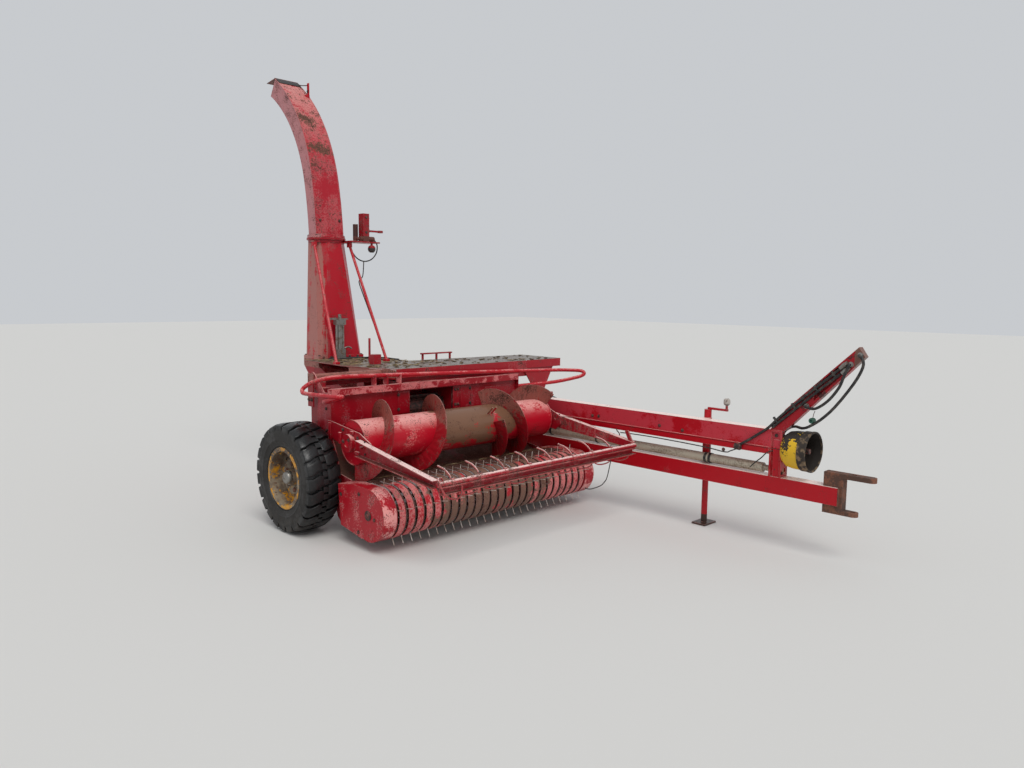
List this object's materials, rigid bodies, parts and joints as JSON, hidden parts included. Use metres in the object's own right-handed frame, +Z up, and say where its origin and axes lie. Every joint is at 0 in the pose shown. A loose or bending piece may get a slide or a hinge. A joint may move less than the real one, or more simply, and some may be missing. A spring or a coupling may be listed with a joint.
{
  "type": "trailed forage harvester with a pick-up header",
  "caption": "Pull-type forage harvester: tined pick-up and auger header, cutter with a tall curved spout, side drawbar with drive line, two wheels and a parking jack.",
  "frame": {"origin": "on the floor under the middle of the whole machine's outline", "axes": "+Z up, -Y to the hitch and the tractor, +X to the machine's left, where the drawbar is"},
  "size_m": [2.7274, 5.0744, 3.5571],
  "materials": {
    "worn_red_paint": "faded and rubbed, with dust",
    "worn_light_red_paint": "sun-bleached to pink on tops",
    "muddy_red_paint": "red paint under dry brown mud",
    "worn_steel": "worn bare with light rust",
    "tyre_rubber": "dusty black with dry mud",
    "old_yellow_paint": "faded yellow with rust and mud",
    "hose_rubber": "dull black",
    "rusty_steel": "brown rust",
    "guard_plastic": "yellow, worn black at the rim",
    "shaft_steel": "grey-beige, dusty"
  },
  "bodies": {
    "frame": {"main_frame": "worn_red_paint", "feed_housing": "worn_red_paint", "cutter_housing": "worn_red_paint", "gearbox": "worn_red_paint", "feed_drive_case": "worn_red_paint", "deck": "muddy_red_paint", "sharpening_gear": "worn_steel", "chute": "worn_light_red_paint", "chute_ring": "worn_red_paint", "chute_stays": "worn_light_red_paint", "spout_drive": "worn_red_paint"},
    "cutter": {"cutter_drum": "worn_steel"},
    "feed_roller_upper": {"feed_roller_upper": "worn_steel"},
    "feed_roller_lower": {"feed_roller_lower": "worn_steel"},
    "spout": {"spout": "worn_light_red_paint"},
    "spout_flap": {"spout_flap": "worn_light_red_paint"},
    "wheel_right": {"tyre_right": "tyre_rubber", "rim_right": "old_yellow_paint"},
    "wheel_left": {"tyre_left": "tyre_rubber", "rim_left": "old_yellow_paint"},
    "header": {"header_side_right": "worn_red_paint", "header_side_left": "worn_red_paint", "header_back": "worn_red_paint", "auger_pan": "muddy_red_paint", "pickup_bands": "worn_light_red_paint", "shield_right": "worn_light_red_paint", "shield_left": "worn_light_red_paint", "header_drive_case": "worn_red_paint", "rail": "worn_light_red_paint"},
    "auger": {"auger_drum": "worn_red_paint", "auger_flights": "worn_red_paint"},
    "pickup_reel": {"pickup_reel": "worn_steel"},
    "crop_guard": {"crop_guard": "worn_red_paint"},
    "drawbar": {"drawbar": "worn_red_paint", "hitch": "rusty_steel", "hose_arm": "worn_red_paint", "hose_bundle": "hose_rubber", "hose_long": "hose_rubber", "hose_short": "hose_rubber", "pto_guard": "guard_plastic", "jack_crank": "worn_red_paint"},
    "pto_shaft": {"pto_shaft": "shaft_steel"},
    "pto_stub": {"pto_stub": "shaft_steel"},
    "rear_shaft": {"rear_shaft": "shaft_steel"},
    "jack": {"jack_leg": "worn_red_paint"},
    "lift_cylinder": {"lift_cylinder": "worn_red_paint"},
    "lift_rod": {"lift_rod": "worn_steel"}
  },
  "joints": [
    {"name": "wheel_right_roll", "type": "hinge", "parent": "frame", "child": "wheel_right", "pos_m": [-1.23625, 0.54782, 0.38], "axis": [1, 0, 0], "continuous": true},
    {"name": "wheel_left_roll", "type": "hinge", "parent": "frame", "child": "wheel_left", "pos_m": [1.19375, 0.54782, 0.38], "axis": [1, 0, 0], "continuous": true},
    {"name": "cutter_turn", "type": "hinge", "parent": "frame", "child": "cutter", "pos_m": [-0.22125, 1.07782, 0.56], "axis": [1, 0, 0], "continuous": true},
    {"name": "feed_roller_upper_turn", "type": "hinge", "parent": "frame", "child": "feed_roller_upper", "pos_m": [-0.16625, 0.57782, 0.77], "axis": [1, 0, 0], "continuous": true},
    {"name": "feed_roller_lower_turn", "type": "hinge", "parent": "frame", "child": "feed_roller_lower", "pos_m": [-0.16625, 0.57782, 0.53], "axis": [1, 0, 0], "continuous": true},
    {"name": "auger_turn", "type": "hinge", "parent": "header", "child": "auger", "pos_m": [-0.16625, 0.11782, 0.655], "axis": [1, 0, 0], "continuous": true},
    {"name": "pickup_reel_turn", "type": "hinge", "parent": "header", "child": "pickup_reel", "pos_m": [-0.16625, -0.22218, 0.246], "axis": [1, 0, 0], "continuous": true},
    {"name": "spout_turn", "type": "hinge", "parent": "frame", "child": "spout", "pos_m": [-0.25625, 1.74782, 2.12], "axis": [0, 0, 1], "range_deg": [-120, 120]},
    {"name": "spout_flap_tilt", "type": "hinge", "parent": "spout", "child": "spout_flap", "pos_m": [-0.25625, 2.38769, 3.54907], "axis": [1, 0, 0], "range_deg": [-30, 40]},
    {"name": "header_lift", "type": "hinge", "parent": "frame", "child": "header", "pos_m": [-0.16625, 0.60782, 1.05], "axis": [-1, 0, 0], "range_deg": [0, 14]},
    {"name": "crop_guard_lift", "type": "hinge", "parent": "header", "child": "crop_guard", "pos_m": [-0.16625, -0.05218, 0.65], "axis": [-1, 0, 0], "range_deg": [0, 30]},
    {"name": "drawbar_swing", "type": "hinge", "parent": "frame", "child": "drawbar", "pos_m": [0.94375, 0.41782, 0.5], "axis": [0, 0, 1], "range_deg": [0, 15]},
    {"name": "pto_shaft_turn", "type": "hinge", "parent": "drawbar", "child": "pto_shaft", "pos_m": [0.94375, -0.75218, 0.512], "axis": [0, 1, 0], "continuous": true},
    {"name": "pto_stub_turn", "type": "hinge", "parent": "drawbar", "child": "pto_stub", "pos_m": [0.94375, -2.05218, 0.665], "axis": [0, 1, 0], "continuous": true},
    {"name": "rear_shaft_turn", "type": "hinge", "parent": "frame", "child": "rear_shaft", "pos_m": [0.94375, 0.64782, 0.512], "axis": [0, 1, 0], "continuous": true},
    {"name": "jack_slide", "type": "slide", "parent": "drawbar", "child": "jack", "axis": [0, 0, 1], "range_m": [0, 0.3]},
    {"name": "lift_cylinder_swing", "type": "hinge", "parent": "frame", "child": "lift_cylinder", "pos_m": [0.70375, 0.65982, 0.565], "axis": [-1, 0, 0], "range_deg": [0, 17]},
    {"name": "lift_rod_slide", "type": "slide", "parent": "lift_cylinder", "child": "lift_rod", "axis": [0, -0.9413, -0.3376], "range_m": [0, 0.12]}
  ],
  "couplings": [
    {"joint": "lift_cylinder_swing", "follows": "header_lift", "ratio": 1.151},
    {"joint": "lift_rod_slide", "follows": "header_lift", "m_per_rad": 0.4843},
    {"joint": "rear_shaft_turn", "follows": "pto_shaft_turn", "ratio": 1}
  ]
}
